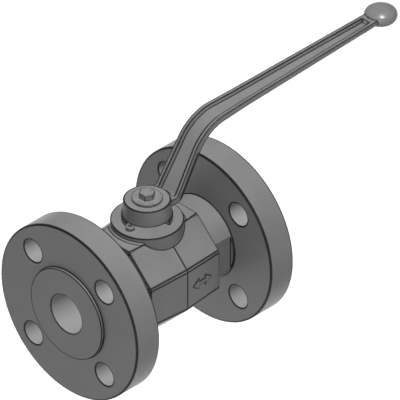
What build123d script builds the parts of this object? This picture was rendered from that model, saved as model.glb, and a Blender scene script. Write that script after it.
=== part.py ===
from build123d import *

import os
from math import asin, atan2, cos, degrees, radians, sin, sqrt, tan

# Flanged ball valve of nominal size 40 with a hand lever. Every piece is modelled where it
# sits in the assembled valve, in millimetres. The origin is the centre of the ball, X is the
# pipe axis from the inlet to the outlet, and Z is the stem axis. The valve is open, with its
# lever over the outlet; turning the lever a quarter turn clockwise, seen from above, shuts it.

# Pipe connections
bore_d = 38.0
bore_chamfer = 0.5
face_to_face = 200.0
flange_d = 170.0
flange_thick = 28.0
flange_chamfer = 1.0
raised_face_d = 88.0
raised_face_height = 3.0
bolt_circle_d = 125.0
bolt_hole_d = 22.0
bolt_count = 4
hole_chamfer = 0.5

# Ball and its seats
ball_d = 60.0
ball_bore_chamfer = 0.6
slot_width = 11.0
slot_wall = 3.5
seat_gap = 0.2
seat_inset = 3.0
seat_lip = 0.8
seat_wall = 3.5
seat_lead = 2.0
seat_pocket_gap = 0.1
seat_ring_section = 2.6

# Adapters screwed into the body, with a seal groove on each nose
cavity_room = 3.0
nose_clearance = 0.05
groove_land = 3.0
nose_groove_depth = 2.6
o_ring_width = 3.0
o_ring_round = 0.38
backup_width = 1.4
nose_land = 2.6
thread_step = 3.0
thread_length = 15.5
neck_d = 80.0
neck_flat_depth = 4.0
flats_land = 1.5

# Forged body
body_wall = 14.5
forging_draft = 4.0
body_corner_radius = 2.5
body_edge = 0.6
body_top_cut = 3.0
boss_d = 65.0
boss_fillet = 3.0
boss_edge = 0.5
arrow_length = 24.0
arrow_height = 11.0
arrow_shaft = 4.0
arrow_relief = 0.6
arrow_centre_x = 19.0

# Stem
shank_d = 22.0
running_gap = 0.05
collar_step = 2.95
collar_rise = 0.5
collar_thick = 4.0
thrust_thick = 1.5
thrust_play = 0.05
stem_groove_depth = 2.3
stem_land = 1.2
seal_play = 0.02
tang_gap = 0.05
square_flats = 14.0
square_gap = 0.05
stem_top_drop = 0.5
stem_edge = 0.6
bush_wall = 2.45
bush_length = 3.0

# Lever hub, its stop and its fixing
hub_d = 42.4
hub_height = 15.8
hub_draft = 2.2
hub_edge = 0.8
skirt_height = 5.0
skirt_step = 1.8
skirt_wall = 5.5
skirt_gap = 0.3
lever_turn = 90.0
stop_inset = 0.7
stop_angle = 183.4
stop_play = 0.1
stop_head_d = 8.5
stop_head_height = 3.5
stop_head_edge = 0.8
stop_shank_d = 5.0
stop_shank_length = 10.0
stop_socket = 3.0
washer_d = 28.0
washer_thick = 2.0
washer_hole_d = 8.4
washer_edge = 0.3
screw_d = 8.0
screw_length = 20.0
screw_flats = 13.0
screw_head_height = 5.3
tapped_extra = 3.0

# Lever arm: a forged channel, bent twice in the XZ plane. Its places are those of the
# middle of its top, and its widths are those of its top.
arm_start_x = 14.0
arm_above_hub_bottom = 11.9
low_bend_reach = 3.2
low_bend_r = 3.0
high_bend_x = 62.2
arm_lift = 57.7
high_bend_r = 45.0
arm_rise = 0.69
low_half_width = 14.2
low_thick = 5.7
high_half_width = 12.5
high_thick = 5.7
mid_x = 112.0
mid_half_width = 11.5
mid_thick = 5.3
tip_half_width = 8.45
tip_thick = 4.0
rim_width = 4.05
rim_round = 0.6
rim_break = 0.5
recess_depth = 2.5
recess_draft = 25.0
recess_fillet = 1.0
recess_band = 3.3
recess_end = 18.5
recess_end_slope = 50.0
knob_x = 291.5
knob_drop = 2.9
knob_r = 15.1
knob_half_height = 9.2
knob_rim_r = 6.2

# Set screws that lock the adapters
lock_screw_d = 6.0
lock_screw_length = 9.0
lock_screw_socket = 3.0
lock_point = 1.0

# Along the pipe, from the ball outwards
bore_r = bore_d / 2
ball_r = ball_d / 2
seat_sphere_r = ball_r + seat_gap
seat_outer_r = ball_r - seat_inset
pocket_r = seat_outer_r + seat_pocket_gap
cavity_r = ball_r + cavity_room
nose_r = cavity_r - nose_clearance
nose_groove_r = nose_r - nose_groove_depth
thread_r = cavity_r + thread_step
lip_inner = (sqrt(seat_sphere_r**2 - bore_r**2), bore_r)
lip_outer = (sqrt(seat_sphere_r**2 - (seat_outer_r - seat_lip) ** 2), seat_outer_r - seat_lip)
seat_back = lip_inner[0] + seat_wall
seat_ring_r = seat_outer_r - seat_ring_section
seat_ring_x = seat_back - seat_ring_section
nose_tip_x = lip_outer[0] + seat_lead
nose_groove_start = nose_tip_x + groove_land
body_backup_x = nose_groove_start + o_ring_width
nose_groove_end = body_backup_x + backup_width
thread_end_x = nose_groove_end + nose_land
body_end_x = thread_end_x + thread_length
lock_x = thread_end_x + thread_length / 2
raised_face_x = face_to_face / 2
flange_front_x = raised_face_x - raised_face_height
flange_back_x = flange_front_x - flange_thick
body_half = thread_r + body_wall
body_top = body_half - body_top_cut

# Up the stem, from the ball to the lever's screw
slot_floor = bore_r + slot_wall
tang_bottom = slot_floor + 2 * seat_gap
collar_r = shank_d / 2 + collar_step
stem_bore_r = shank_d / 2 + running_gap
bush_r = stem_bore_r + bush_wall
stem_groove_r = shank_d / 2 - stem_groove_depth
seal_r = stem_bore_r - seal_play
collar_bottom = cavity_r + collar_rise
collar_top = collar_bottom + collar_thick
stem_shoulder = collar_top + thrust_thick + thrust_play
lower_groove_start = stem_shoulder + stem_land
stem_backup_z = lower_groove_start + o_ring_width
upper_groove_start = stem_backup_z + backup_width + stem_land
bush_bottom = upper_groove_start + o_ring_width + stem_land
boss_top = bush_bottom + bush_length
hub_bottom = boss_top + skirt_height
hub_top = hub_bottom + hub_height
stem_top = hub_top - stem_top_drop
head_bottom = hub_top + washer_thick

# Round the stem
skirt_r = hub_d / 2 + skirt_step
stop_radius = skirt_r - stop_inset
stop_half = degrees(asin((stop_head_d / 2 + stop_play) / stop_radius))
gap_start = stop_angle - stop_half
gap_turn = lever_turn + 2 * stop_half
arm_low_z = hub_bottom + arm_above_hub_bottom
low_bend_x = hub_d / 2 + low_bend_reach
high_bend_z = arm_low_z + arm_lift

os.makedirs("parts", exist_ok=True)


def finish(piece, label):
    """Name a finished piece after its node and write it."""
    piece.label = label
    export_step(piece, f"parts/{label}.step")


def ring(outer_r, inner_r, start, width, axis_plane):
    """A plain ring round the normal of a plane."""
    with BuildPart() as blank:
        with BuildSketch(axis_plane.offset(start)):
            Circle(outer_r)
            Circle(inner_r, mode=Mode.SUBTRACT)
        extrude(amount=width)
    return blank.part


def seated_o_ring(outer_r, inner_r, start, width, axis_plane):
    """An O-ring as it sits squeezed in its groove: flat where it seals, round at its sides."""
    with BuildPart() as seal:
        add(ring(outer_r, inner_r, start, width, axis_plane))
        fillet(seal.edges(), min(width, outer_r - inner_r) * o_ring_round)
    return seal.part


# ---- Body: an eight-sided forging with a machined top and a round boss for the stem ----


def forged_octagon(half_width):
    """The forging's outline, widest at its parting plane and drafted towards both ends."""
    with BuildPart() as forging:
        with BuildSketch(Plane.YZ) as outline:
            RegularPolygon(half_width, 8, major_radius=False, rotation=22.5)
            fillet(outline.vertices(), body_corner_radius)
        extrude(amount=body_end_x, both=True, taper=forging_draft)
    return forging.part


head_length = arrow_length / 3
head_base_x = arrow_centre_x + arrow_length / 2 - head_length
with BuildPart() as arrow:
    with BuildSketch(Plane.XZ.offset(body_half / 2)):
        with BuildLine():
            Polyline(
                (arrow_centre_x, arrow_shaft / 2),
                (head_base_x, arrow_shaft / 2),
                (head_base_x, arrow_height / 2),
                (head_base_x + head_length, 0),
                (head_base_x, -arrow_height / 2),
                (head_base_x, -arrow_shaft / 2),
                (arrow_centre_x, -arrow_shaft / 2),
                close=True,
            )
        make_face()
        mirror(about=Plane.YZ.offset(arrow_centre_x))
    extrude(amount=body_half)
    add(forged_octagon(body_half + arrow_relief), mode=Mode.INTERSECT)

with BuildPart() as body:
    add(forged_octagon(body_half))
    chamfer(body.faces().sort_by(Axis.X)[0].edges(), body_edge)
    chamfer(body.faces().sort_by(Axis.X)[-1].edges(), body_edge)
    add(arrow.part)
    with BuildSketch(Plane.XY.offset(body_top)):
        Rectangle(face_to_face, face_to_face)
    extrude(amount=body_half, mode=Mode.SUBTRACT)
    with BuildSketch(Plane.XY.offset(body_half / 2)):
        Circle(boss_d / 2)
    extrude(amount=boss_top - body_half / 2)
    boss_side = body.faces().filter_by(GeomType.CYLINDER).filter_by(
        lambda face: abs(face.radius - boss_d / 2) < boss_edge
    )[0]
    boss_rims = boss_side.edges().filter_by(GeomType.LINE, reverse=True)
    top_rim = boss_rims.sort_by(Axis.Z)[-1]
    fillet([edge for edge in boss_rims if edge != top_rim], boss_fillet)
    chamfer(body.edges().filter_by(GeomType.CIRCLE).sort_by(Axis.Z)[-1], boss_edge)
    # Cavity for the ball, and a threaded bore for each adapter
    with BuildSketch(Plane.YZ):
        Circle(cavity_r)
    extrude(amount=body_end_x, both=True, mode=Mode.SUBTRACT)
    for end in (Plane.YZ, Plane.ZY):
        with BuildSketch(end.offset(thread_end_x)):
            Circle(thread_r)
        extrude(amount=thread_length, mode=Mode.SUBTRACT)
    # Stem bore with a shoulder for the collar, and a seat for the bush
    with BuildSketch(Plane.XY):
        Circle(collar_r + running_gap)
    extrude(amount=stem_shoulder, mode=Mode.SUBTRACT)
    with BuildSketch(Plane.XY):
        Circle(stem_bore_r)
    extrude(amount=boss_top * 2, mode=Mode.SUBTRACT)
    with BuildSketch(Plane.XY.offset(bush_bottom)):
        Circle(bush_r)
    extrude(amount=bush_length * 2, mode=Mode.SUBTRACT)
    # Tapped hole for the stop screw, and one for each lock screw
    with BuildSketch(Plane.XY.offset(boss_top)):
        with PolarLocations(stop_radius, 1, start_angle=stop_angle):
            Circle(stop_shank_d / 2)
    extrude(amount=-stop_shank_length - 1, mode=Mode.SUBTRACT)
    with BuildSketch(Plane.XY.offset(-cavity_r)):
        with Locations((lock_x, 0), (-lock_x, 0)):
            Circle(lock_screw_d / 2)
    extrude(amount=-body_half, mode=Mode.SUBTRACT)
finish(body.part, "body")

# ---- Adapters: flange, neck with wrench flats, thread and nose turned from one forging ----

with BuildPart() as adapter:
    with BuildSketch(Plane.XZ):
        with BuildLine():
            Polyline(
                (nose_tip_x, pocket_r),
                (nose_tip_x, nose_r),
                (nose_groove_start, nose_r),
                (nose_groove_start, nose_groove_r),
                (nose_groove_end, nose_groove_r),
                (nose_groove_end, nose_r),
                (thread_end_x, nose_r),
                (thread_end_x, thread_r),
                (body_end_x, thread_r),
                (body_end_x, neck_d / 2),
                (flange_back_x, neck_d / 2),
                (flange_back_x, flange_d / 2 - flange_chamfer),
                (flange_back_x + flange_chamfer, flange_d / 2),
                (flange_front_x - flange_chamfer, flange_d / 2),
                (flange_front_x, flange_d / 2 - flange_chamfer),
                (flange_front_x, raised_face_d / 2),
                (raised_face_x, raised_face_d / 2),
                (raised_face_x, bore_r + bore_chamfer),
                (raised_face_x - bore_chamfer, bore_r),
                (seat_back, bore_r),
                (seat_back, pocket_r),
                close=True,
            )
        make_face()
    revolve(axis=Axis.X)
    # Bolt holes straddle the vertical centre line
    with BuildSketch(Plane.YZ.offset(flange_back_x)):
        with PolarLocations(bolt_circle_d / 2, bolt_count, start_angle=180 / bolt_count):
            Circle(bolt_hole_d / 2)
    extrude(amount=flange_thick, mode=Mode.SUBTRACT)
    hole_edges = adapter.edges().filter_by(GeomType.CIRCLE).filter_by(
        lambda edge: abs(edge.radius - bolt_hole_d / 2) < hole_chamfer
    )
    chamfer(hole_edges, hole_chamfer)
    # Wrench flats on both sides of the neck
    with BuildSketch(Plane.YZ.offset(body_end_x)):
        for side in (1, -1):
            with Locations((side * neck_d / 2, 0)):
                Rectangle(2 * neck_flat_depth, neck_d)
    extrude(amount=flange_back_x - body_end_x - flats_land, mode=Mode.SUBTRACT)
    # Dimple for the lock screw's point
    with Locations(Location((lock_x, 0, -thread_r + lock_point / 2))):
        Cone(lock_screw_d / 2, lock_screw_d / 2 - lock_point, lock_point, mode=Mode.SUBTRACT)

for label, turned in (("outlet_adapter", 0), ("inlet_adapter", 180)):
    finish(adapter.part.rotate(Axis.Z, turned), label)

# ---- Set screws, from below, that keep the adapters from unscrewing ----

with BuildPart() as lock_screw:
    with BuildSketch(Plane.XY.offset(-thread_r)):
        with Locations((lock_x, 0)):
            Circle(lock_screw_d / 2)
    extrude(amount=lock_point - lock_screw_length)
    with Locations(Location((lock_x, 0, -thread_r + lock_point / 2))):
        Cone(lock_screw_d / 2, lock_screw_d / 2 - lock_point, lock_point)
    with BuildSketch(Plane.XY.offset(lock_point - lock_screw_length - thread_r)):
        with Locations((lock_x, 0)):
            RegularPolygon(lock_screw_socket / 2, 6, major_radius=False)
    extrude(amount=lock_screw_socket, mode=Mode.SUBTRACT)

for label, turned in (("outlet_lock_screw", 0), ("inlet_lock_screw", 180)):
    finish(lock_screw.part.rotate(Axis.Z, turned), label)

# ---- Ball: a full-bore ball with a slot across its top for the stem's tang ----

with BuildPart() as ball:
    Sphere(ball_r)
    with BuildSketch(Plane.YZ):
        Circle(bore_r)
    extrude(amount=ball_d, both=True, mode=Mode.SUBTRACT)
    bore_edges = ball.edges().filter_by(GeomType.CIRCLE)
    fillet(bore_edges, ball_bore_chamfer)
    with BuildSketch(Plane.XY.offset(slot_floor)):
        Rectangle(slot_width, ball_d)
    extrude(amount=ball_r, mode=Mode.SUBTRACT)
finish(ball.part, "ball")

# ---- Seats: cupped rings in the adapters' pockets that seal on the ball ----

lip_angle = (atan2(lip_inner[1], lip_inner[0]) + atan2(lip_outer[1], lip_outer[0])) / 2
lip_middle = (seat_sphere_r * cos(lip_angle), seat_sphere_r * sin(lip_angle))

with BuildPart() as seat:
    with BuildSketch(Plane.XZ):
        with BuildLine():
            ThreePointArc(lip_inner, lip_middle, lip_outer)
            Polyline(
                lip_outer,
                (lip_outer[0], seat_outer_r),
                (seat_ring_x, seat_outer_r),
                (seat_ring_x, seat_ring_r),
                (seat_back, seat_ring_r),
                (seat_back, bore_r),
                lip_inner,
            )
        make_face()
    revolve(axis=Axis.X)

seat_o_ring = seated_o_ring(pocket_r, seat_ring_r, seat_ring_x, seat_ring_section, Plane.YZ)
body_o_ring = seated_o_ring(cavity_r, nose_groove_r, nose_groove_start, o_ring_width, Plane.YZ)
body_backup = ring(cavity_r, nose_groove_r, body_backup_x, backup_width, Plane.YZ)
for end, turned in (("outlet", 0), ("inlet", 180)):
    finish(seat.part.rotate(Axis.Z, turned), f"{end}_seat")
    finish(seat_o_ring.rotate(Axis.Z, turned), f"{end}_seat_o_ring")
    finish(body_o_ring.rotate(Axis.Z, turned), f"{end}_body_o_ring")
    finish(body_backup.rotate(Axis.Z, turned), f"{end}_backup_ring")

# ---- Stem: put in from inside the body, so that pressure cannot blow it out ----

with BuildPart() as stem:
    with BuildSketch(Plane.XY.offset(tang_bottom)):
        Rectangle(slot_width - 2 * tang_gap, shank_d)
        Circle(shank_d / 2, mode=Mode.INTERSECT)
    extrude(amount=collar_bottom - tang_bottom)
    with BuildSketch(Plane.XY.offset(collar_bottom)):
        Circle(collar_r)
    extrude(amount=collar_thick)
    with BuildSketch(Plane.XY.offset(collar_top)):
        Circle(shank_d / 2)
    extrude(amount=hub_bottom - collar_top)
    with BuildSketch(Plane.XY.offset(hub_bottom)):
        Rectangle(square_flats, square_flats)
    extrude(amount=stem_top - hub_bottom)
    chamfer(stem.faces().sort_by(Axis.Z)[-1].edges(), stem_edge)
    for groove, width in (
        (lower_groove_start, o_ring_width + backup_width),
        (upper_groove_start, o_ring_width),
    ):
        with BuildSketch(Plane.XY.offset(groove)):
            Circle(shank_d / 2)
            Circle(stem_groove_r, mode=Mode.SUBTRACT)
        extrude(amount=width, mode=Mode.SUBTRACT)
    with BuildSketch(Plane.XY.offset(head_bottom - screw_length - tapped_extra)):
        Circle(screw_d / 2)
    extrude(amount=screw_length * 2, mode=Mode.SUBTRACT)
finish(stem.part, "stem")

for label, start in (("stem_lower_o_ring", lower_groove_start), ("stem_upper_o_ring", upper_groove_start)):
    finish(seated_o_ring(seal_r, stem_groove_r, start, o_ring_width, Plane.XY), label)
finish(ring(seal_r, stem_groove_r, stem_backup_z, backup_width, Plane.XY), "stem_backup_ring")
finish(ring(collar_r, shank_d / 2, collar_top, thrust_thick, Plane.XY), "stem_thrust_ring")
finish(ring(bush_r, stem_bore_r, bush_bottom, bush_length, Plane.XY), "stem_bush")

# ---- Stop screw: a low-head socket screw in the boss, which the lever's skirt runs up to ----

with BuildPart() as stop_screw:
    with BuildSketch(Plane.XY.offset(boss_top - stop_shank_length)):
        with PolarLocations(stop_radius, 1, start_angle=stop_angle):
            Circle(stop_shank_d / 2)
    extrude(amount=stop_shank_length)
    with BuildSketch(Plane.XY.offset(boss_top)):
        with PolarLocations(stop_radius, 1, start_angle=stop_angle):
            Circle(stop_head_d / 2)
    extrude(amount=stop_head_height)
    fillet(stop_screw.faces().sort_by(Axis.Z)[-1].edges(), stop_head_edge)
    with BuildSketch(Plane.XY.offset(boss_top + stop_head_height)):
        with PolarLocations(stop_radius, 1, start_angle=stop_angle):
            RegularPolygon(stop_socket / 2, 6, major_radius=False)
    extrude(amount=-stop_head_height / 2, mode=Mode.SUBTRACT)
finish(stop_screw.part, "stop_screw")

# ---- Lever: hub with a skirt, channel-section arm and flattened round knob in one forging ----

steep = atan2(high_bend_z - arm_low_z, high_bend_x - low_bend_x)
rise = radians(arm_rise)
recess_end_x = knob_x - recess_end
low_tangent = low_bend_r * tan(steep / 2)
high_tangent = high_bend_r * tan((steep - rise) / 2)


def along(x, z, angle, distance):
    """The point at a distance from a point, in a direction in the XZ plane."""
    return x + distance * cos(angle), z + distance * sin(angle)


def arm_plane(point, angle):
    """A plane across the arm: its x is the lever's width and its y the thickness."""
    return Plane((point[0], 0, point[1]), x_dir=(0, 1, 0), z_dir=(cos(angle), 0, sin(angle)))


low_start = along(low_bend_x, arm_low_z, 0, -low_tangent)
low_end = along(low_bend_x, arm_low_z, steep, low_tangent)
high_start = along(high_bend_x, high_bend_z, steep, -high_tangent)
high_end = along(high_bend_x, high_bend_z, rise, high_tangent)
middle = along(high_bend_x, high_bend_z, rise, (mid_x - high_bend_x) / cos(rise))
tip = along(high_bend_x, high_bend_z, rise, (knob_x - knob_r / 2 - high_bend_x) / cos(rise))
low_centre = along(*low_start, radians(90), low_bend_r)
high_centre = along(*high_end, rise - radians(90), high_bend_r)
low_size = (low_half_width, low_thick)
high_size = (high_half_width, high_thick)
mid_size = (mid_half_width, mid_thick)
tip_size = (tip_half_width, tip_thick)
runs = (
    (arm_plane((arm_start_x, arm_low_z), 0), low_size, arm_plane(low_start, 0), low_size),
    (arm_plane(low_end, steep), low_size, arm_plane(high_start, steep), high_size),
    (arm_plane(high_end, rise), high_size, arm_plane(middle, rise), mid_size),
    (arm_plane(middle, rise), mid_size, arm_plane(tip, rise), tip_size),
)
low_axis = Axis((low_centre[0], 0, low_centre[1]), (0, -1, 0))
high_axis = Axis((high_centre[0], 0, high_centre[1]), (0, 1, 0))
bends = (
    (arm_plane(low_start, 0), low_size, low_axis, degrees(steep)),
    (arm_plane(high_start, steep), high_size, high_axis, degrees(steep - rise)),
)


def arm_outline(plane, size):
    """The channel's outline, drafted outwards from its top down to its flat underside."""
    half_width, thick = size
    foot = half_width + thick * tan(radians(forging_draft))
    with BuildSketch(plane) as outline:
        with BuildLine():
            Polyline((half_width, 0), (-half_width, 0), (-foot, -thick), (foot, -thick), close=True)
        make_face()
        fillet(outline.vertices(), rim_round)
    return outline.sketch


def recess_outline(plane, size):
    """The hollow between the rims: a drafted channel with its mouth's edges broken."""
    mouth = size[0] - rim_width
    floor = mouth - recess_depth * tan(radians(recess_draft))
    points = (
        (floor, -recess_depth),
        (mouth, -rim_break),
        (mouth + 2 * rim_break, rim_break),
    )
    with BuildSketch(plane) as outline:
        with BuildLine():
            Polyline(*points, *((-x, y) for x, y in reversed(points)), close=True)
        make_face()
        floor_corners = outline.vertices().sort_by(lambda v: v.Y)[:2]
        fillet(floor_corners, recess_fillet)
    return outline.sketch


with BuildPart() as recess:
    for start, start_size, end, end_size in runs:
        loft([recess_outline(start, start_size), recess_outline(end, end_size)], ruled=True)
    for start, size, axis, angle in bends:
        revolve(recess_outline(start, size), axis=axis, revolution_arc=angle)
    # It stops at a band round the hub, and at a slope before the knob
    with BuildSketch(Plane.XY):
        Circle(hub_d / 2 + recess_band)
    extrude(amount=hub_top * 2, mode=Mode.SUBTRACT)
    slope = radians(recess_end_slope)
    recess_end_z = high_bend_z + (recess_end_x - high_bend_x) * tan(rise)
    cut = Plane((recess_end_x, 0, recess_end_z), x_dir=(0, 1, 0), z_dir=(sin(slope), 0, -cos(slope)))
    split(bisect_by=cut, keep=Keep.BOTTOM)

knob_z = high_bend_z + (knob_x - high_bend_x) * tan(rise) - knob_drop
knob_crown_r = ((knob_r - knob_rim_r) ** 2 + knob_half_height**2 - knob_rim_r**2) / (
    2 * (knob_half_height - knob_rim_r)
)
crown_angle = atan2(knob_crown_r - knob_half_height, knob_r - knob_rim_r)
crown_edge = (knob_r - knob_rim_r + knob_rim_r * cos(crown_angle), knob_rim_r * sin(crown_angle))
with BuildPart() as knob:
    with BuildSketch(Plane((knob_x, 0, knob_z), x_dir=(1, 0, 0), z_dir=(0, -1, 0))):
        with BuildLine() as half:
            rim = TangentArc((knob_r, 0), crown_edge, tangent=(0, 1))
            TangentArc(crown_edge, (0, knob_half_height), tangent=rim % 1)
            mirror(about=Plane.XZ)
            Line((0, knob_half_height), (0, -knob_half_height))
        make_face()
    revolve(axis=Axis((knob_x, 0, 0), (0, 0, 1)))

with BuildPart() as lever:
    for start, start_size, end, end_size in runs:
        loft([arm_outline(start, start_size), arm_outline(end, end_size)], ruled=True)
    for start, size, axis, angle in bends:
        revolve(arm_outline(start, size), axis=axis, revolution_arc=angle)
    add(knob.part)
    with BuildSketch(Plane.XY.offset(hub_bottom)):
        Circle(hub_d / 2 + (hub_top - hub_bottom) * tan(radians(hub_draft)))
    extrude(amount=hub_top - hub_bottom, taper=hub_draft)
    fillet(lever.edges().filter_by(GeomType.CIRCLE).filter_by_position(Axis.Z, hub_top, hub_top), hub_edge)
    add(recess.part, mode=Mode.SUBTRACT)
    # Skirt under the hub, open over the angle that the stop screw travels
    with BuildSketch(Plane.XY.offset(boss_top + skirt_gap)):
        Circle(skirt_r)
        Circle(skirt_r - skirt_wall, mode=Mode.SUBTRACT)
    extrude(amount=hub_bottom - boss_top - skirt_gap)
    with BuildSketch(Plane.XY.offset(boss_top)):
        with BuildLine():
            PolarLine((0, 0), 2 * skirt_r, gap_start)
            CenterArc((0, 0), 2 * skirt_r, gap_start, gap_turn)
            PolarLine((0, 0), 2 * skirt_r, gap_start + gap_turn)
        make_face()
    extrude(amount=hub_bottom - boss_top, mode=Mode.SUBTRACT)
    with BuildSketch(Plane.XY.offset(hub_bottom)):
        Rectangle(square_flats + 2 * square_gap, square_flats + 2 * square_gap)
    extrude(amount=hub_top, mode=Mode.SUBTRACT)
finish(lever.part, "lever")

# ---- Washer and hexagon screw that hold the lever on the stem ----

with BuildPart() as lever_washer:
    with BuildSketch(Plane.XY.offset(hub_top)):
        Circle(washer_d / 2)
        Circle(washer_hole_d / 2, mode=Mode.SUBTRACT)
    extrude(amount=washer_thick)
    chamfer(lever_washer.faces().sort_by(Axis.Z)[-1].outer_wire().edges(), washer_edge)
finish(lever_washer.part, "lever_washer")

with BuildPart() as lever_screw:
    with BuildSketch(Plane.XY.offset(head_bottom)):
        RegularPolygon(screw_flats / 2, 6, major_radius=False, rotation=30)
    extrude(amount=screw_head_height)
    # The head's corners are turned off by a cone
    with BuildSketch(Plane.XZ):
        with BuildLine():
            Polyline(
                (screw_flats / 2, head_bottom + screw_head_height),
                (screw_flats, head_bottom + screw_head_height),
                (screw_flats, head_bottom + screw_head_height - screw_flats / 2 * tan(radians(30))),
                close=True,
            )
        make_face()
    revolve(axis=Axis.Z, mode=Mode.SUBTRACT)
    with BuildSketch(Plane.XY.offset(head_bottom)):
        Circle(screw_d / 2)
    extrude(amount=-screw_length)
finish(lever_screw.part, "lever_screw")
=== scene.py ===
import math

import bpy
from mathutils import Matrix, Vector


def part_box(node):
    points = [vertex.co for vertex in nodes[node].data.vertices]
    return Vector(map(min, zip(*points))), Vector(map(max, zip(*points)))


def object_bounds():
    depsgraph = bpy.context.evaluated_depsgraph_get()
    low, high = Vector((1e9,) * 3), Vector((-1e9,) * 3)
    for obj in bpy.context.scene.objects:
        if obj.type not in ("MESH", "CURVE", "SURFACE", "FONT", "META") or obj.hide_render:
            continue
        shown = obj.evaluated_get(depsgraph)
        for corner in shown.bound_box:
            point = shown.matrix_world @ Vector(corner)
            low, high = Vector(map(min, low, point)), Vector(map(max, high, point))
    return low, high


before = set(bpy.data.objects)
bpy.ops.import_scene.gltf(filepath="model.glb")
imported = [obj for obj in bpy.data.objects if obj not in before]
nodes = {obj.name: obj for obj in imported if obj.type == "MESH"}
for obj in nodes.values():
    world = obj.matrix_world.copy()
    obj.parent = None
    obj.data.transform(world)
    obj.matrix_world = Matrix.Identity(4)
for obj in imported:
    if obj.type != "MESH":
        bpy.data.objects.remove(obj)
cad_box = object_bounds()


# Camera. A long lens far away keeps the pipe, the width and the stem axis at equal angles,
# as on an isometric drawing: the view runs down from the inlet side and the near side.
VIEW_WIDTH = 0.3519
LENS = 1650.0
SENSOR = 36.0
AIM_RIGHT = 0.0464
AIM_UP = 0.0591
AIM_DEPTH = -0.02
CLIP_NEAR = 0.1
CLIP_FAR = 2

towards = Vector((-1, -1, 1)).normalized()
right = Vector((1, -1, 0)).normalized()
up = towards.cross(right)
distance = VIEW_WIDTH * LENS / SENSOR
camera_data = bpy.data.cameras.new("camera")
camera_data.lens = LENS
camera_data.sensor_width = SENSOR
camera_data.clip_start = CLIP_NEAR * distance
camera_data.clip_end = CLIP_FAR * distance
camera = bpy.data.objects.new("camera", camera_data)
bpy.context.scene.collection.objects.link(camera)
camera.location = right * AIM_RIGHT + up * AIM_UP + towards * (distance + AIM_DEPTH)
camera.rotation_mode = "QUATERNION"
camera.rotation_quaternion = (-towards).to_track_quat("-Z", "Y")
bpy.context.scene.camera = camera


# Floor: the sheet of plain matt paper that the valve stands on, with the lowest points of its
# two flanges. It has a faint tooth, and glows a little, so that it shows white all over.
FLOOR_HALF = 6.0
PAPER_GLOW = 0.28
PAPER_FIBRE = 0.004
PAPER_GREYS = (0.44, 0.47)
PAPER_ROUGH = 0.9

bpy.ops.object.select_all(action="DESELECT")
bpy.ops.mesh.primitive_plane_add(size=2 * FLOOR_HALF, location=(0, 0, cad_box[0].z))
floor = bpy.context.object
floor.name = "floor"


class Socket:
    """A shader socket whose operators add the Math nodes for values."""

    def __init__(self, tree, output):
        self.tree = tree
        self.output = output

    def node(self, kind, settings=None, output=0, **inputs):
        """Adds any node: its settings first, then the values or links of its sockets."""
        made = self.tree.nodes.new(kind)
        for name, value in (settings or {}).items():
            setattr(made, name, value)
        for name, value in inputs.items():
            key = int(name[1:]) if name[0] == "i" and name[1:].isdigit() else name.replace("_", " ")
            if isinstance(value, Socket):
                self.tree.links.new(value.output, made.inputs[key])
            else:
                made.inputs[key].default_value = value
        return Socket(self.tree, made.outputs[output])

    def maths(self, operation, *values):
        inputs = {f"i{place}": value for place, value in enumerate(values)}
        return self.node("ShaderNodeMath", {"operation": operation}, **inputs)

    def __add__(self, other):
        return self.maths("ADD", self, other)

    __radd__ = __add__

    def __sub__(self, other):
        return self.maths("SUBTRACT", self, other)

    def __rsub__(self, other):
        return self.maths("SUBTRACT", other, self)

    def __mul__(self, other):
        return self.maths("MULTIPLY", self, other)

    __rmul__ = __mul__

    def __pow__(self, other):
        return self.maths("POWER", self, other)

    def __abs__(self):
        return self.maths("ABSOLUTE", self)

    def band(self, low, high):
        """0 below low, 1 above high, a smooth rise between."""
        settings = {"interpolation_type": "SMOOTHSTEP", "clamp": True}
        return self.node("ShaderNodeMapRange", settings, Value=self, From_Min=low, From_Max=high)

    def strip(self, low, high, soft):
        """1 from low to high, with an edge that soft on the inside of each, 0 elsewhere."""
        return self.band(low, low + soft) * (1 - self.band(high - soft, high))


def noise(place, size, detail=3.0):
    """Noise from 0 to 1 whose lumps are about that size."""
    return place.node("ShaderNodeTexNoise", {}, Vector=place, Scale=1 / size, Detail=detail)


def mix_colour(amount, low, high):
    """Low's colour where amount is 0, high's where it is 1. Either may be a socket."""
    settings = {"data_type": "RGBA"}
    return amount.node("ShaderNodeMix", settings, output=2, Factor=amount, i6=low, i7=high)


def grey(shade, warm=0.0):
    """A grey, warmer than plain for a little above 0 and cooler for a little below."""
    return (shade * (1 + warm), shade, shade * (1 - warm), 1)


def new_material(name, roughness, metallic=0.0, specular=0.5):
    """A material, its shader, and its object coordinates ready for a pattern."""
    material = bpy.data.materials.new(name)
    material.use_nodes = True
    tree = material.node_tree
    shader = tree.nodes["Principled BSDF"]
    shader.inputs["Roughness"].default_value = roughness
    shader.inputs["Metallic"].default_value = metallic
    shader.inputs["Specular IOR Level"].default_value = specular
    place = Socket(tree, tree.nodes.new("ShaderNodeTexCoord").outputs["Object"])
    return material, shader, place


def drive(shader, **sockets):
    """Links sockets to the shader's inputs by name."""
    for name, socket in sockets.items():
        socket.tree.links.new(socket.output, shader.inputs[name.replace("_", " ")])


paper, shader, place = new_material("white_paper", PAPER_ROUGH, specular=0.1)
drive(shader, Base_Color=mix_colour(noise(place, PAPER_FIBRE), *map(grey, PAPER_GREYS)))
shader.inputs["Emission Color"].default_value = grey(1.0)
shader.inputs["Emission Strength"].default_value = PAPER_GLOW
floor.data.materials.append(paper)


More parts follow.
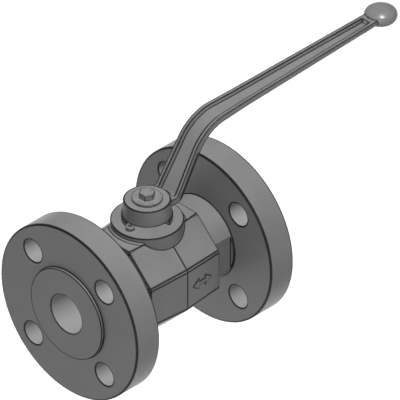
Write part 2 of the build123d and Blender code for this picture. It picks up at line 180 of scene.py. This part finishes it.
# Body: the eight-sided middle, drop forged from carbon steel, blasted and phosphated to a
# dull grey. The dies met at the middle of its length, which leaves the seam round it. Dark
# lines are painted along the seam, the rounded corners and every other edge as outlines, and
# in the corners and creases these dark lines are painted shade.
STEEL_GREY = 0.107
# Near black of the painted outlines, which in corners and creases are painted shade
OUTLINE_AND_SHADE_GREY = 0.004
EDGE_REACH = 0.0019
EDGE_TURN = (0.005, 0.03)
LINE_HALF = 0.001
LINE_SHARE = 0.95
PATCH_RANGE = (0.3, 0.7)
SCALE_PATCH = 0.035
BLAST_GRAIN = 0.0011
FORGED_LUMP = 0.0045
FORGED_DEPTH = 0.00009
FORGED_ROUGH = 0.44
EDGE_ROUGH = 0.2
SEAM_HALF = 0.00055
HALF_CORNER = math.radians(22.5)
CORNER_HALF = 0.0014
CORNER_IN = 0.047
CORNER_OUT = 0.0552
CORNER_TOP = 0.046
CAVITY_EDGE = 0.04
BODY_HALF = 0.0505
BODY_TOP = 0.0475
BODY_END = 0.0425
BODY_DRAFT = math.tan(math.radians(4))
BOSS_R = 0.0325
BOSS_FOOT = 0.0385
BOSS_LOW = 0.03
BOSS_TOP = 0.05305
FADE = 0.001


def edges(place, reach):
    """1 along sharp edges and in corners, 0 on open faces."""
    rounded = place.node("ShaderNodeBevel", {"samples": 8}, Radius=reach)
    own = place.node("ShaderNodeNewGeometry", output="Normal")
    settings = {"operation": "DOT_PRODUCT"}
    same = place.node("ShaderNodeVectorMath", settings, output="Value", i0=rounded, i1=own)
    return (1 - same).band(*EDGE_TURN)


def hypotenuse(one, other):
    """A distance, from its parts in two directions."""
    return (one * one + other * other) ** 0.5


def ring_line(out, along, ring_r, ring_place, half=LINE_HALF):
    """1 along a round edge that is that far out from the axis and at that place along it."""
    return 1 - hypotenuse(out - ring_r, along - ring_place).band(0.7 * half, 1.1 * half)


def either(*masks):
    """The greatest of the masks."""
    most = masks[0]
    for mask in masks[1:]:
        most = most.maths("MAXIMUM", most, mask)
    return most


def bump(height, depth):
    """A normal for a surface whose height, from 0 to 1, is that deep."""
    return height.node("ShaderNodeBump", {}, Height=height, Distance=depth)


def axes(place):
    """The place along the pipe, across it and above its axis."""
    return [place.node("ShaderNodeSeparateXYZ", output=axis, Vector=place) for axis in "XYZ"]


def dress(material, *names):
    """Gives CAD nodes this material alone."""
    for name in names:
        slots = nodes[name].data.materials
        slots.clear()
        slots.append(material)


def forged_skin(place, shade, lines):
    """Colour, roughness and normal of a blasted forging, painted dark along the given lines as
    outlines and, in corners, as painted shade.
    """
    patch = noise(place, SCALE_PATCH, 5.0).band(*PATCH_RANGE)
    grain = noise(place, BLAST_GRAIN, 2.0)
    lump = noise(place, FORGED_LUMP, 4.0)
    dull = grey(shade * 0.9, 0.006)
    bright = grey(shade * 1.08, -0.004)
    colour = mix_colour(lines, mix_colour(patch * 0.7 + grain * 0.3, dull, bright), grey(OUTLINE_AND_SHADE_GREY))
    rough = FORGED_ROUGH + (patch - 0.5) * 0.12 + (grain - 0.5) * 0.16 + lines * EDGE_ROUGH
    return colour, rough, bump(lump * 0.75 + grain * 0.25, FORGED_DEPTH)


forged, shader, place = new_material("forged_body", 0.45, specular=0.18)
along, across, height = axes(place)
out = hypotenuse(across, height)
outside = out.band(CAVITY_EDGE, CAVITY_EDGE + FADE)
below_boss = 1 - height.band(BOSS_FOOT, BOSS_FOOT + FADE)
seam = (1 - abs(along).band(SEAM_HALF, 2 * SEAM_HALF)) * below_boss * outside

# Two lines beside each rounded corner
wide = across.maths("MAXIMUM", abs(across), abs(height))
narrow = across.maths("MINIMUM", abs(across), abs(height))
from_corner = abs(narrow * math.cos(HALF_CORNER) - wide * math.sin(HALF_CORNER))
beside_corner = 1 - abs(from_corner - CORNER_HALF).band(SEAM_HALF, 2 * SEAM_HALF)
on_corner = out.strip(CORNER_IN, CORNER_OUT + FADE / 2, FADE / 2)
corner_line = beside_corner * on_corner * (1 - height.band(CORNER_TOP, CORNER_TOP + FADE))

# The fillet round the boss's foot shows where the skin lifts off the flats, and where it
# leaves the boss's side
over_top = height - BODY_TOP
over_slope = (abs(across) + height) * math.sqrt(0.5) + abs(along) * BODY_DRAFT - BODY_HALF
lift = over_top.maths("MAXIMUM", over_top, over_slope)
from_stem = hypotenuse(along, across)
foot_line = lift.strip(0.00002, 0.0004, 0.00005)
neck_line = (from_stem - BOSS_R).strip(0.00003, 0.0004, 0.00005)
fillet = height.band(BOSS_LOW, BOSS_LOW + FADE) * (1 - from_stem.band(BOSS_FOOT, BOSS_FOOT + FADE / 3))
fillet_lines = either(foot_line, neck_line * lift.band(0.0005, 0.0006)) * fillet

top_crease = 1 - over_top.maths("MAXIMUM", abs(over_top), abs(over_slope)).band(0.0005, 0.0008)
end_line = abs(along).strip(BODY_END - 0.0013, BODY_END, 0.0002) * outside
boss_line = ring_line(from_stem, height, BOSS_R, BOSS_TOP)
drawn = either(seam, corner_line, fillet_lines, top_crease, end_line)
# Painted dark outlines on every edge, and painted shade in the corners and creases
lines = either(edges(place, EDGE_REACH), drawn * LINE_SHARE, boss_line)
colour, rough, normal = forged_skin(place, STEEL_GREY, lines)
drive(shader, Base_Color=colour, Roughness=rough, Normal=normal)
dress(forged, "body")


# Adapters: a flange, a neck and a threaded nose turned from one forging at each end. The
# lathe leaves fine rings on every face, and the gasket faces are grooved deeper to bite.
TURN_PITCH = 0.0009
TURN_TONE = 0.0016
GASKET_X = 0.0985
GASKET_PITCH = 0.0016
TURNED_ROUGH = 0.36
TURNED_DEPTH = 0.00004
# Bare machined steel, lighter than the skin; the tone is also painted light that makes the inside of
# the holes look lit
BARE_AND_LIT_GREY = 0.16
BARE_EDGE = 0.0008
BORE_R = 0.0191
BOLT_CIRCLE_R = 0.0625
BOLT_OFFSET = BOLT_CIRCLE_R / math.sqrt(2)
BOLT_R = 0.0111
HOLE_FADE = 0.0003
FLANGE_FACES = (0.069, 0.097)
# Each round edge: its radius, and its place along the pipe from the middle
ROUND_EDGES = (
    (0.084, 0.069), (0.085, 0.070), (0.085, 0.096), (0.084, 0.097),
    (0.044, 0.097), (0.044, 0.1), (0.019, 0.1), (0.040, 0.069),
)


def wave(path, pitch):
    """Up to 1 and down to 0 once in every pitch along the path."""
    turns = path * (2 * math.pi / pitch)
    return turns.maths("SINE", turns) * 0.5 + 0.5


def turned_skin(place, shade, reach, path, pitch):
    """Colour, roughness, grooves and rings of a piece on which the tool ran along the path."""
    settings = {"noise_dimensions": "1D"}
    ring = place.node("ShaderNodeTexNoise", settings, W=path, Scale=1 / TURN_TONE, Detail=3.0)
    patch = noise(place, SCALE_PATCH, 4.0).band(*PATCH_RANGE)
    line = edges(place, reach)
    dull = grey(shade * 0.9, 0.004)
    bright = grey(shade * 1.1, -0.004)
    # Painted dark outlines along the edges, which in corners are painted shade
    colour = mix_colour(line, mix_colour(ring * 0.65 + patch * 0.35, dull, bright), grey(OUTLINE_AND_SHADE_GREY))
    rough = TURNED_ROUGH + (ring - 0.5) * 0.22 + (patch - 0.5) * 0.08 + line * EDGE_ROUGH
    return colour, rough, wave(path, pitch), ring


turned, shader, place = new_material("turned_adapter", 0.38, specular=0.18)
along, across, height = axes(place)
radius = hypotenuse(across, height)
from_middle = abs(along)
path = radius + from_middle
colour, rough, groove, ring = turned_skin(place, STEEL_GREY, EDGE_REACH, path, TURN_PITCH)
from_bolt = hypotenuse(abs(across) - BOLT_OFFSET, abs(height) - BOLT_OFFSET)
drilled = 1 - from_bolt.band(BOLT_R, BOLT_R + HOLE_FADE)
bored = 1 - radius.band(BORE_R, BORE_R + HOLE_FADE)
# Bored and drilled faces: bare steel, and painted light inside the holes
bare_and_lit = either(bored, drilled) * (1 - edges(place, BARE_EDGE))
colour = mix_colour(bare_and_lit, colour, mix_colour(ring, grey(BARE_AND_LIT_GREY * 0.88), grey(BARE_AND_LIT_GREY)))
# Painted dark outlines round the flanges, the bore and the bolt holes, and painted shade where the
# neck meets the flange
rims = either(
    *(ring_line(radius, from_middle, r, x, 0.0008) for r, x in ROUND_EDGES),
    *(ring_line(from_bolt, from_middle, BOLT_R + 0.0005, x, 0.0009) for x in FLANGE_FACES),
)
colour = mix_colour(rims, colour, grey(OUTLINE_AND_SHADE_GREY))
gasket = from_middle.band(GASKET_X, GASKET_X + FADE / 2)
serration = wave(radius, GASKET_PITCH) * gasket
surface = bump(groove * (1 - gasket) * 0.3 + ring * 0.3 + serration, TURNED_DEPTH)
drive(shader, Base_Color=colour, Roughness=rough, Normal=surface)
dress(turned, "inlet_adapter", "outlet_adapter")


# Lever: one forging from the hub to the round knob, in the same grey finish as the body, and
# rubbed to a shine by hands at the knob. Dark lines are painted round its hub and along its
# arm and the rims of its channel as outlines, and in the channel's corners as painted shade.
KNOB_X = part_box("lever")[1].x - 0.031
KNOB_SHINE = 0.45
HUB_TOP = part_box("lever_washer")[0].z
HUB_BOTTOM = HUB_TOP - 0.0158
HUB_TOP_R = 0.0206
HUB_BOTTOM_R = 0.0212
# How wide the arm is on each side of its middle, at places along it
ARM_HALF_WIDTHS = (
    (0.0253, 0.0142), (0.0491, 0.0125), (0.0862, 0.0125), (0.112, 0.0115), (0.284, 0.00845),
)
ARM_START_R = 0.0218
ARM_BOTTOM = 0.0633
ARM_END = 0.2785
RECESS_START_R = 0.0245
RECESS_END = 0.273
RIM_FADE = 0.0002

lever_steel, shader, place = new_material("lever_forging", 0.4, specular=0.28)
along, across, height = axes(place)
knob = along.band(KNOB_X, KNOB_X + 0.004)
from_stem = hypotenuse(along, across)
hub_top_line = ring_line(from_stem, height, HUB_TOP_R, HUB_TOP)
hub_bottom_line = ring_line(from_stem, height, HUB_BOTTOM_R, HUB_BOTTOM)
half_width = ARM_HALF_WIDTHS[0][1]
for (before, wide), (after, narrow) in zip(ARM_HALF_WIDTHS, ARM_HALF_WIDTHS[1:]):
    reach = {"From_Min": before, "From_Max": after}
    taper = along.node("ShaderNodeMapRange", {"clamp": True}, Value=along, **reach)
    half_width = half_width + taper * (narrow - wide)
inset = half_width - abs(across)
outer_line = inset.strip(0.0001, 0.0014, RIM_FADE)
foot_line = 1 - inset.band(-0.00033, -0.00028)
mouth_line = inset.strip(0.0034, 0.0044, RIM_FADE)
floor_line = inset.strip(0.0051, 0.0066, RIM_FADE)
before_end = 1 - along.band(RECESS_END - RIM_FADE, RECESS_END)
hollow = from_stem.band(RECESS_START_R, RECESS_START_R + RIM_FADE) * before_end
beyond_hub = from_stem.band(ARM_START_R, ARM_START_R + 2 * RIM_FADE)
above_skirt = height.band(ARM_BOTTOM, ARM_BOTTOM + RIM_FADE)
on_arm = beyond_hub * above_skirt * (1 - along.band(ARM_END, ARM_END + RIM_FADE))
arm_lines = either(outer_line, foot_line, either(mouth_line, floor_line) * hollow) * on_arm
# Painted dark outlines on the hub and the arm, which in corners are painted shade
lines = either(edges(place, EDGE_REACH), hub_top_line, hub_bottom_line, arm_lines * LINE_SHARE)
colour, rough, normal = forged_skin(place, STEEL_GREY, lines)
drive(shader, Base_Color=colour, Roughness=rough * (1 - knob * KNOB_SHINE), Normal=normal)
dress(lever_steel, "lever")


# Lever screw and washer: bought parts in zinc-plated steel, the washer stamped and the
# hexagon head cold formed, so both are smooth, with a faint grain in the plating.
ZINC_GREY = 0.15
ZINC_GRAIN = 0.0008
ZINC_CLOUD = 0.006
ZINC_EDGE = 0.0016
PLATING_DEPTH = 0.00002

zinc, shader, place = new_material("zinc_plate", 0.3, metallic=0.25)
fleck = noise(place, ZINC_GRAIN, 3.0)
cloud = noise(place, ZINC_CLOUD, 3.0).band(*PATCH_RANGE)
line = edges(place, ZINC_EDGE)
dull = grey(ZINC_GREY * 0.88, 0.01)
bright = grey(ZINC_GREY * 1.1, -0.012)
tone = mix_colour(fleck * 0.5 + cloud * 0.5, dull, bright)
# Painted dark outlines along the edges, which in corners are painted shade
drive(shader, Base_Color=mix_colour(line, tone, grey(OUTLINE_AND_SHADE_GREY)))
drive(shader, Roughness=0.26 + cloud * 0.14, Normal=bump(fleck, PLATING_DEPTH))
dress(zinc, "lever_screw", "lever_washer")


# Stop screw and lock screws: socket screws in black-oxidised steel, which the oil in the
# finish keeps dark and a little uneven.
OXIDE_GREY = 0.08
OXIDE_PATCH = 0.002
OXIDE_EDGE = 0.0005

oxide, shader, place = new_material("black_oxide", 0.4)
patch = noise(place, OXIDE_PATCH, 3.0)
line = edges(place, OXIDE_EDGE)
tone = mix_colour(patch, grey(OXIDE_GREY * 0.8), grey(OXIDE_GREY * 1.25))
# Painted dark outlines along the edges, which in corners are painted shade
drive(shader, Base_Color=mix_colour(line, tone, grey(OUTLINE_AND_SHADE_GREY)))
drive(shader, Roughness=0.32 + patch * 0.16, Normal=bump(patch, PLATING_DEPTH))
dress(oxide, "stop_screw", "inlet_lock_screw", "outlet_lock_screw")


# Stem: turned and finely ground from stainless bar, with a milled square for the lever. Its
# rings run round the upright axis.
STAINLESS_GREY = 0.5
STEM_EDGE = 0.0006
GRIND_PITCH = 0.0004
GRIND_DEPTH = 0.000015

stainless, shader, place = new_material("stainless_stem", 0.25, metallic=0.9)
along, across, height = axes(place)
path = hypotenuse(across, along) + height
# Painted dark outlines along the edges, which in corners are painted shade
colour, rough, groove, ring = turned_skin(place, STAINLESS_GREY, STEM_EDGE, path, GRIND_PITCH)
surface = bump(groove * 0.5 + ring * 0.5, GRIND_DEPTH)
drive(shader, Base_Color=colour, Roughness=rough * 0.7, Normal=surface)
dress(stainless, "stem")


# Ball: turned, ground and hard chromed to nearly a mirror, with a thin haze and faint
# lapping scratches that cross in all directions.
CHROME_GREY = 0.62
CHROME_EDGE = 0.0007
CHROME_OUTLINE_AND_SHADE_GREY = 0.1
HAZE_CLOUD = 0.01
SCRATCH_SCALE = 260.0

chrome, shader, place = new_material("chromed_ball", 0.12, metallic=1.0)
settings = {"feature": "DISTANCE_TO_EDGE"}
scratch = place.node("ShaderNodeTexVoronoi", settings, Vector=place, Scale=SCRATCH_SCALE)
haze = noise(place, HAZE_CLOUD, 4.0)
line = edges(place, CHROME_EDGE)
tone = mix_colour(haze, grey(CHROME_GREY * 0.94), grey(CHROME_GREY))
# Painted dark outlines along the edges, which in corners are painted shade
drive(shader, Base_Color=mix_colour(line, tone, grey(CHROME_OUTLINE_AND_SHADE_GREY)))
drive(shader, Roughness=0.09 + haze * 0.08 + (1 - scratch.band(0.0, 0.03)) * 0.12)
dress(chrome, "ball")


# Seats, thrust ring and stem bush: turned from carbon-filled PTFE, dark grey and waxy, with
# darker specks of filler that stand a little proud.
FILLED_PTFE = (0.1, 0.096, 0.09, 1)
FILLER_SPECK = (0.045, 0.044, 0.042, 1)
SPECK_SIZE = 0.0007
SWIRL_SIZE = 0.008
WAX_DEPTH = 0.00003

seat_plastic, shader, place = new_material("filled_ptfe", 0.5, specular=0.35)
speck = noise(place, SPECK_SIZE, 2.0).band(0.58, 0.7)
swirl = noise(place, SWIRL_SIZE, 3.0)
drive(shader, Base_Color=mix_colour(speck * 0.5, FILLED_PTFE, FILLER_SPECK))
drive(shader, Roughness=0.42 + swirl * 0.16, Normal=bump(speck * 0.3 + swirl, WAX_DEPTH))
dress(seat_plastic, "inlet_seat", "outlet_seat", "stem_thrust_ring", "stem_bush")


# Backup rings: thin rings of pure PTFE beside the O-rings, which keep them from being
# squeezed out of their grooves; cut from tube, plain white, with a cloudy, waxy face.
PTFE_DULL = (0.78, 0.78, 0.76, 1)
PTFE_WHITE = (0.88, 0.88, 0.87, 1)
PTFE_CLOUD = 0.004

ptfe, shader, place = new_material("pure_ptfe", 0.45, specular=0.35)
cloud = noise(place, PTFE_CLOUD, 4.0)
drive(shader, Base_Color=mix_colour(cloud, PTFE_DULL, PTFE_WHITE))
drive(shader, Roughness=0.38 + cloud * 0.18, Normal=bump(cloud, WAX_DEPTH))
dress(ptfe, "inlet_backup_ring", "outlet_backup_ring", "stem_backup_ring")


# O-rings: moulded nitrile rubber, black, with a dull bloom and a fine grain, pressed flat
# in their grooves on the nose, the seats and the stem.
RUBBER_DARK = 0.016
RUBBER_BLOOM = 0.034
BLOOM_SIZE = 0.005
PORE_SIZE = 0.0004
PORE_DEPTH = 0.00001

rubber, shader, place = new_material("nitrile_rubber", 0.6, specular=0.3)
bloom = noise(place, BLOOM_SIZE, 4.0).band(0.35, 0.7)
pore = noise(place, PORE_SIZE, 2.0)
drive(shader, Base_Color=mix_colour(bloom, grey(RUBBER_DARK), grey(RUBBER_BLOOM, 0.02)))
drive(shader, Roughness=0.5 + bloom * 0.22, Normal=bump(pore, PORE_DEPTH))
dress(rubber, *(name for name in nodes if name.endswith("o_ring")))


# Lights: a soft studio. The key hangs nearly overhead, so level faces read lighter than
# upright ones; two weak fills and a white sky reach the sides, and the last adds only gleams.
WORLD_STRENGTH = 0.12

world = bpy.data.worlds.new("studio")
world.use_nodes = True
world.node_tree.nodes["Background"].inputs["Color"].default_value = grey(1.0)
world.node_tree.nodes["Background"].inputs["Strength"].default_value = WORLD_STRENGTH
bpy.context.scene.world = world
bpy.context.scene.view_settings.view_transform = "Standard"


def lamp(name, place, size, power):
    """A square soft box that shines at the valve and leaves no shadow."""
    data = bpy.data.lights.new(name, "AREA")
    data.size = size
    data.energy = power
    data.use_shadow = False
    made = bpy.data.objects.new(name, data)
    bpy.context.scene.collection.objects.link(made)
    made.location = place
    made.rotation_mode = "QUATERNION"
    made.rotation_quaternion = (-Vector(place)).to_track_quat("-Z", "Y")
    return made


key = lamp("key", (-0.2, -0.3, 1.95), 0.5, 78)
key.visible_glossy = False
lamp("fill", (-1.25, -1.25, 0.7), 0.6, 11)
back_fill = lamp("back_fill", (1.25, 1.25, 0.7), 0.6, 12)
back_fill.visible_glossy = False
gleam = lamp("gleam", (0.0, -0.66, 2.25), 0.36, 100)
gleam.visible_diffuse = False
